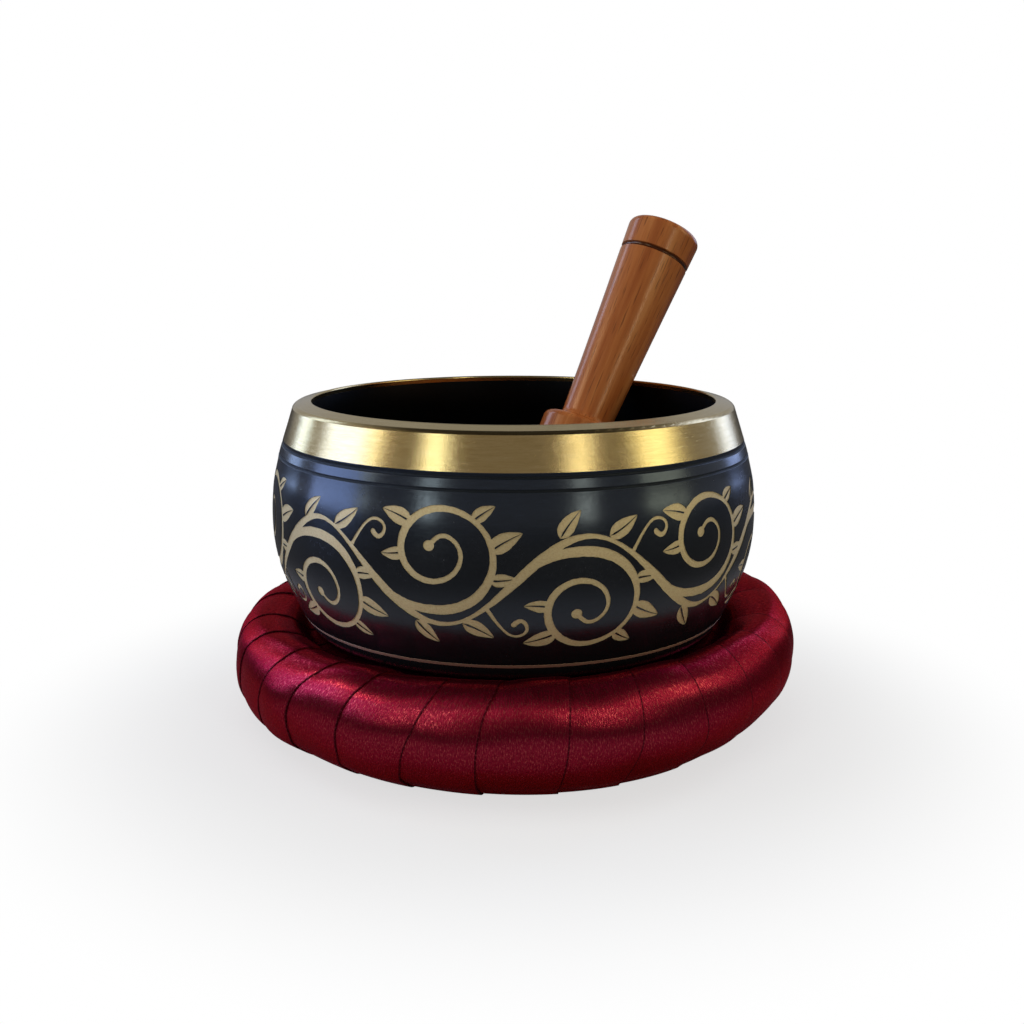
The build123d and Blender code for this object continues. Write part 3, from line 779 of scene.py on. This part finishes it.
def reshape_ring(r, z, T):
    """The hand-stuffed ring isn't round: its outside and its crest vary with T, and what lies under the bowl doesn't."""
    c, s = np.cos(T), np.sin(T)
    outer = smooth01((r - 62.0) / 14.0)
    front = smooth01((c + 0.25) / 1.0)
    dr = -3.61 * front + 0.85 * s - 0.27 * s * c + 1.80 * (1 - front)
    # towards the floor the front is drawn in, and the right more than the left
    under = np.minimum(0.46 - 2.41 * s - 5.11 * np.maximum(c, 0.0) + 0.57 * s * c, 1.6) * smooth01((20.0 - z) / 18.0)
    dr = dr + under + 0.50 * wobble(T * 180 / math.pi, 360, 44, 4)
    high = smooth01((z - 8.0) / 22.0)
    dz = -0.27 + 1.45 * s + 0.40 * wobble(T * 180 / math.pi, 360, 61, 4)
    # at the front the bowl's weight has sunk the crest a little beside it
    sunk = 2.6 * smooth01((c + 0.35) / 0.9) * smooth01((r - 57.5) / 4.5) * smooth01((77.0 - r) / 9.0) * high
    return r + dr * outer, z + dz * outer * high - sunk


# visible edges of the ribbon: their angle at 9, 18, 33 and 48 mm up the section
SEEN = [(-96.0, -95.5, -95.0, -95.3), (-89.0, -87.0, -84.5, -79.1), (-80.0, -77.5, -73.6, -66.3), (-67.0, -64.0, -58.1, -51.8),
        (-54.4, -51.3, -47.0, -38.5), (-39.1, -36.4, -33.2, -27.0), (-24.0, -22.0, -17.6, -12.5), (-7.6, -7.1, -5.7, -1.5), (9.7, 9.6, 10.0, 11.5),
        (24.3, 23.8, 23.9, 24.2), (41.6, 40.3, 37.4, 35.9), (57.0, 55.0, 51.1, 49.5), (70.5, 68.5, 65.3, 61.0), (80.8, 79.5, 77.2, 74.0)]
TURNS = 28
WIDTH = 25.0
back = TURNS - len(SEEN)
gap_T = (360 + SEEN[0][2] - SEEN[-1][2]) / (back + 1)
for k in range(back):
    mid = SEEN[13][2] + gap_T * (k + 1) + 1.3 * (hash01(k + 70) - 0.5)
    lean = 1.2 + 2.0 * (hash01(k + 90) - 0.5)
    SEEN.append((mid - 1.3 * lean, mid - lean, mid, mid + lean))
U_AT = (9.0, 18.0, 33.0, 48.0)
knots_u, knots_t = [], []
for k in range(-2, TURNS + 2):
    marks = SEEN[k % TURNS]
    lap = 360 * (k // TURNS)
    for uu, tt in zip(U_AT, marks):
        r_here = float(np.interp(uu, np.arange(SEC_N) * PERIM / SEC_N, sec[:, 0]))
        knots_u.append(k * PERIM + uu)
        knots_t.append(math.radians(tt + lap) - WIDTH / 2 / r_here)
    # round the inside and underneath the turns run on evenly to the next
knots_u, knots_t = np.array(knots_u), np.array(knots_t)


def pchip(x, y, q):
    h, d = np.diff(x), np.diff(y) / np.diff(x)
    m = np.zeros_like(y)
    w1, w2 = 2 * h[1:] + h[:-1], h[1:] + 2 * h[:-1]
    same = d[:-1] * d[1:] > 0
    m[1:-1][same] = (w1[same] + w2[same]) / (w1[same] / d[:-1][same] + w2[same] / d[1:][same])
    m[0], m[-1] = d[0], d[-1]
    i = np.clip(np.searchsorted(x, q) - 1, 0, len(x) - 2)
    t = (q - x[i]) / h[i]
    return (y[i] * (1 + 2 * t) * (1 - t) ** 2 + m[i] * h[i] * t * (1 - t) ** 2 + y[i + 1] * t * t * (3 - 2 * t) + m[i + 1] * h[i] * t * t * (t - 1))


def centre_T(U):
    return pchip(knots_u, knots_t, U)


sec_r = np.append(sec[:, 0], sec[0, 0])
sec_u = np.arange(SEC_N + 1) * PERIM / SEC_N


def edge_phase(u, T):
    """How far a point is from the visible edge on its left to the one on its right, and which turn is on top there."""
    u = np.asarray(u) % PERIM
    r = np.interp(u, sec_u, sec_r)
    half = WIDTH / 2 / r
    best = np.full(np.shape(T), -1.0)
    turn = np.zeros(np.shape(T), int)
    lo = np.full(np.shape(T), -1e9)
    hi = np.full(np.shape(T), 1e9)
    for k in range(-3, TURNS + 3):
        e = centre_T(np.clip(k * PERIM + u, knots_u[0], knots_u[-1])) + half
        below = e <= T
        lo = np.where(below & (e > lo), e, lo)
        hi2 = (~below) & (e < hi)
        turn = np.where(hi2, k, turn)
        hi = np.where(hi2, e, hi)
    return np.clip((T - lo) / np.maximum(hi - lo, 1e-6), 0, 1), turn % TURNS, hi - lo


def skin(u, T):
    """What every layer does at one place: the puff of each visible band and the small creases (mm)."""
    ph, turn, width = edge_phase(u, T)
    um = np.asarray(u) % PERIM
    seen = smooth01((um - 4) / 10) * smooth01((62 - um) / 8)
    puff = 0.20 + 0.24 * np.array([hash01(i + 5) for i in range(TURNS)])[turn]
    out = puff * (np.sin(math.pi * np.clip(ph, 0, 1)) ** 0.6 - 0.15) * seen
    lines = (np.sin(T * 180 + 3 * np.sin(um * 0.11 + turn)) * 0.5 + np.sin(T * 311 + 2 * np.sin(um * 0.07 + 2.1 * turn)) * 0.5)
    out = out + 0.05 * lines * seen * smooth01((um - 30) / 14)
    out = out + 0.10 * np.sin(um * 0.33 + turn * 2.4 + 3 * ph) * seen
    lean = 0.8 * (np.array([hash01(i + 31) for i in range(TURNS)])[turn] - 0.5)
    out = out + lean * np.clip((um - 35) / 9, -1, 1) * np.sin(math.pi * np.clip(ph, 0, 1)) ** 0.8 * seen
    return out


STEP = 0.34       # from one layer's face to the next, mm
THICK = 0.20


def build_ribbon():
    """One satin ribbon wound round the ring, each turn over the next one's near edge."""
    per_turn, across = 120, 18
    tail = 9.0
    n = per_turn * TURNS
    U = np.linspace(-tail, TURNS * PERIM + tail, n)
    w = np.linspace(-WIDTH / 2, WIDTH / 2, across + 1)
    Tc = centre_T(U)
    u = U % PERIM
    r = np.interp(u, sec_u, sec_r)
    spacing = (centre_T(U + PERIM / 2) - centre_T(U - PERIM / 2)) * r
    UU, WW = np.meshgrid(U, w, indexing="ij")
    T = Tc[:, None] + WW / r[:, None]
    slope = STEP / spacing
    h = -(WIDTH / 2 - WW) * slope[:, None]
    # the ribbon's end tail, tucked under the turns beside it
    end = smooth01((UU - (TURNS * PERIM - 3)) / 8)
    h = h - 0.27 * end
    D = skin(UU, T)
    top = ring_point(UU, T, h + D)
    low = ring_point(UU, T, h + D - THICK)
    low[..., 2] = np.maximum(low[..., 2], 0.0)
    flat_top = np.maximum(top[..., 2], 0.02)
    top[..., 2] = flat_top
    m = across + 1
    verts = np.concatenate([top.reshape(-1, 3), low.reshape(-1, 3)]) * MM
    idx = np.arange(n * m).reshape(n, m)
    a, b, c, d = idx[:-1, :-1].ravel(), idx[1:, :-1].ravel(), idx[1:, 1:].ravel(), idx[:-1, 1:].ravel()
    k = n * m
    f_top = np.stack([a, d, c, b], 1)
    f_low = np.stack([a + k, b + k, c + k, d + k], 1)
    e0, e1 = idx[:-1, 0], idx[1:, 0]
    s0 = np.stack([e0, e1, e1 + k, e0 + k], 1)
    e0, e1 = idx[:-1, -1], idx[1:, -1]
    s1 = np.stack([e0, e0 + k, e1 + k, e1], 1)
    e0, e1 = idx[0, :-1], idx[0, 1:]
    s2 = np.stack([e0, e0 + k, e1 + k, e1], 1)
    e0, e1 = idx[-1, :-1], idx[-1, 1:]
    s3 = np.stack([e0, e1, e1 + k, e0 + k], 1)
    faces = np.concatenate([f_top, f_low, s0, s1, s2, s3])
    ob = mesh_object("ribbon", verts, faces, SATIN)
    me = ob.data
    run = np.concatenate([[0], np.cumsum(np.hypot(np.diff(U), r[:-1] * np.diff(Tc)))])
    length = run[-1]
    uu = np.tile(np.repeat(run, m), 2) * MM
    vv = np.tile(np.tile(w + WIDTH / 2, n), 2) * MM
    li = np.zeros(len(me.loops), int)
    me.loops.foreach_get("vertex_index", li)
    lay = me.uv_layers.new(name="ribbon")
    lay.data.foreach_set("uv", np.stack([uu[li], vv[li]], 1).ravel())
    # the same map turned, so that its own tangent runs across the ribbon
    lay2 = me.uv_layers.new(name="across")
    lay2.data.foreach_set("uv", np.stack([vv[li], uu[li]], 1).ravel())
    me.uv_layers.active = lay
    print("ribbon", len(verts), len(faces), len(me.polygons), "length mm", round(float(length), 1))
    return ob, float(length)


ribbon, ribbon_length = build_ribbon()
sharp = ribbon.data.attributes.new("sharp_edge", "BOOLEAN", "EDGE") if "sharp_edge" not in ribbon.data.attributes else ribbon.data.attributes["sharp_edge"]
ec = np.zeros(len(ribbon.data.edges) * 2, int)
ribbon.data.edges.foreach_get("vertices", ec)
ec = ec.reshape(-1, 2)
half_n = len(ribbon.data.vertices) // 2
row = 19
col0, col1 = (ec[:, 0] % half_n) % row, (ec[:, 1] % half_n) % row
rim = ((col0 == col1) & ((col0 == 0) | (col0 == row - 1)) & ((ec[:, 0] < half_n) == (ec[:, 1] < half_n)))
sharp.data.foreach_set("value", rim)
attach(ribbon, "cushion")
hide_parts("ribbon_wrap")


def build_stuffing():
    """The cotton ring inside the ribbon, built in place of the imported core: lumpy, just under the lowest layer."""
    nu, nt = 132, 300
    u = np.linspace(0, PERIM, nu, endpoint=False)
    T = np.linspace(-math.pi, math.pi, nt, endpoint=False)
    UU, TT = np.meshgrid(u, T, indexing="ij")
    lump = 0.18 * np.sin(UU * 0.41 + 3 * np.sin(TT * 9)) + 0.16 * np.sin(TT * 61 + UU * 0.19) * np.cos(UU * 0.3 + TT * 4)
    p = ring_point(UU, TT, -1.75 + lump)
    p[..., 2] = np.maximum(p[..., 2], 1.3 + lump)
    idx = np.arange(nu * nt).reshape(nu, nt)
    a, b = idx, np.roll(idx, -1, 0)
    c, d = np.roll(b, -1, 1), np.roll(idx, -1, 1)
    faces = np.stack([a.ravel(), d.ravel(), c.ravel(), b.ravel()], 1)
    return mesh_object("cushion_stuffing", p.reshape(-1, 3) * MM, faces, COTTON)


stuffing = build_stuffing()
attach(stuffing, "cushion")
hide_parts("cushion_core")


# ---- floor, world and lights -------------------------------------------------
scene = bpy.context.scene
scene.view_settings.view_transform = "Standard"
scene.view_settings.look = "None"

world = bpy.data.worlds.new("studio")
scene.world = world
world.use_nodes = True
wt = world.node_tree
wt.nodes.clear()
w_out = wt.nodes.new("ShaderNodeOutputWorld")
w_mix = wt.nodes.new("ShaderNodeMixShader")
w_path = wt.nodes.new("ShaderNodeLightPath")
w_cam = wt.nodes.new("ShaderNodeBackground")
w_cam.inputs[0].default_value = (1.0, 1.0, 1.0, 1)
w_room = wt.nodes.new("ShaderNodeBackground")
w_tc = wt.nodes.new("ShaderNodeTexCoord")
w_sep = wt.nodes.new("ShaderNodeSeparateXYZ")
w_ramp = wt.nodes.new("ShaderNodeValToRGB")
w_map = wt.nodes.new("ShaderNodeMapRange")
wt.links.new(w_tc.outputs["Generated"], w_sep.inputs[0])
wt.links.new(w_sep.outputs["Y"], w_map.inputs[0])
w_map.inputs[1].default_value, w_map.inputs[2].default_value = -0.2, 1.0
e = w_ramp.color_ramp.elements
e[0].position, e[0].color = 0.0, (0.185, 0.165, 0.145, 1)
e[1].position, e[1].color = 1.0, (0.32, 0.34, 0.38, 1)
wt.links.new(w_map.outputs[0], w_ramp.inputs[0])
wt.links.new(w_ramp.outputs[0], w_room.inputs[0])
w_up = wt.nodes.new("ShaderNodeMapRange")
w_up.interpolation_type = "SMOOTHSTEP"
w_up.inputs[1].default_value, w_up.inputs[2].default_value, w_up.inputs[3].default_value, w_up.inputs[4].default_value = 0.58, 0.88, 1.0, 0.10
wt.links.new(w_sep.outputs["Z"], w_up.inputs[0])
wt.links.new(w_up.outputs[0], w_room.inputs[1])
wt.links.new(w_path.outputs["Is Camera Ray"], w_mix.inputs[0])
wt.links.new(w_room.outputs[0], w_mix.inputs[1])
wt.links.new(w_cam.outputs[0], w_mix.inputs[2])
wt.links.new(w_mix.outputs[0], w_out.inputs[0])


def area(name, loc, aim, size, size_y, radiance, colour=(1, 1, 1), seen_glossy=True):
    d = bpy.data.lights.new(name, "AREA")
    d.shape = "RECTANGLE"
    d.size, d.size_y = size, size_y
    d.energy = radiance * math.pi * size * size_y
    d.color = colour
    o = link(bpy.data.objects.new(name, d))
    o.location = loc
    o.rotation_euler = (Vector(aim) - Vector(loc)).to_track_quat("-Z", "Y").to_euler()
    o.visible_camera = False
    o.visible_glossy = seen_glossy
    return o


def window(name, a0, a1, z0, z1, radiance, colour, dist=2.2):
    """An upright light that fills azimuths a0 to a1 (from -Y towards +X) as the bowl sees them."""
    a = math.radians((a0 + a1) / 2)
    wdt = 2 * dist * math.tan(math.radians(abs(a1 - a0) / 2))
    loc = (dist * math.sin(a), -dist * math.cos(a), (z0 + z1) / 2)
    return area(name, loc, (0, 0, (z0 + z1) / 2), wdt, z1 - z0, radiance, colour)


area("overhead", (0.0, -0.25, 1.45), (0, -0.05, 0.03), 1.5, 1.1, 1.1, (1.0, 0.985, 0.96), seen_glossy=False)
window("window_left", -106, -76, 0.05, 1.16, 3.2, (0.42, 0.56, 1.0))
window("window_left_top", -94, -68, 1.20, 1.58, 4.0, (1.0, 0.90, 0.70))
window("window_left_2", -75, -70, 0.30, 1.18, 2.2, (0.95, 1.0, 0.86))
window("window_left_back", -133, -120, 0.05, 1.75, 2.6, (0.45, 0.62, 1.0))
window("window_left_front", -43, -35, 0.30, 1.42, 3.3, (0.94, 1.0, 0.92))
window("window_right_front", 29, 36, 0.30, 1.42, 3.1, (1.0, 0.98, 0.78))
window("window_right", 63, 86, 0.30, 1.45, 1.60, (1.0, 0.98, 0.66))
window("window_right_back", 122, 138, 0.05, 1.75, 2.4, (0.42, 0.56, 1.0))

floor_mat = bpy.data.materials.new("floor_pale")
floor_mat.use_nodes = True
ft = floor_mat.node_tree
ft.nodes.clear()
f_out = ft.nodes.new("ShaderNodeOutputMaterial")
f_dif = ft.nodes.new("ShaderNodeBsdfDiffuse")
f_dim = ft.nodes.new("ShaderNodeBsdfDiffuse")
f_glow = ft.nodes.new("ShaderNodeEmission")
f_path = ft.nodes.new("ShaderNodeLightPath")
f_m1, f_m2 = ft.nodes.new("ShaderNodeMixShader"), ft.nodes.new("ShaderNodeMixShader")
f_tc = ft.nodes.new("ShaderNodeTexCoord")
f_len = ft.nodes.new("ShaderNodeVectorMath")
f_len.operation = "LENGTH"
f_rng = ft.nodes.new("ShaderNodeMapRange")
f_rng.interpolation_type = "SMOOTHSTEP"
f_dif.inputs[0].default_value = (0.93, 0.93, 0.93, 1)
f_near = ft.nodes.new("ShaderNodeMapRange")
f_near.interpolation_type = "SMOOTHSTEP"
f_tone = ft.nodes.new("ShaderNodeMix")
f_tone.data_type = "RGBA"
f_tone.inputs[6].default_value = (0.58, 0.56, 0.57, 1)
f_tone.inputs[7].default_value = (0.15, 0.142, 0.135, 1)
f_glow.inputs[0].default_value = (1.0, 1.0, 1.0, 1)
ft.links.new(f_tc.outputs["Object"], f_len.inputs[0])
ft.links.new(f_len.outputs["Value"], f_rng.inputs[0])
ft.links.new(f_len.outputs["Value"], f_near.inputs[0])
f_near.inputs[1].default_value, f_near.inputs[2].default_value = 0.095, 0.20
ft.links.new(f_near.outputs[0], f_tone.inputs[0])
ft.links.new(f_tone.outputs[2], f_dim.inputs[0])
f_rng.inputs[1].default_value, f_rng.inputs[2].default_value, f_rng.inputs[3].default_value = 0.080, 0.165, 0.66
ft.links.new(f_rng.outputs[0], f_m1.inputs[0])
ft.links.new(f_dif.outputs[0], f_m1.inputs[1])
ft.links.new(f_glow.outputs[0], f_m1.inputs[2])
ft.links.new(f_path.outputs["Is Camera Ray"], f_m2.inputs[0])
ft.links.new(f_dim.outputs[0], f_m2.inputs[1])
ft.links.new(f_m1.outputs[0], f_m2.inputs[2])
ft.links.new(f_m2.outputs[0], f_out.inputs[0])
floor = mesh_object("floor", [(-8, -8, 0), (8, -8, 0), (8, 8, 0), (-8, 8, 0)], [[0, 1, 2, 3]], floor_mat, smooth=False)
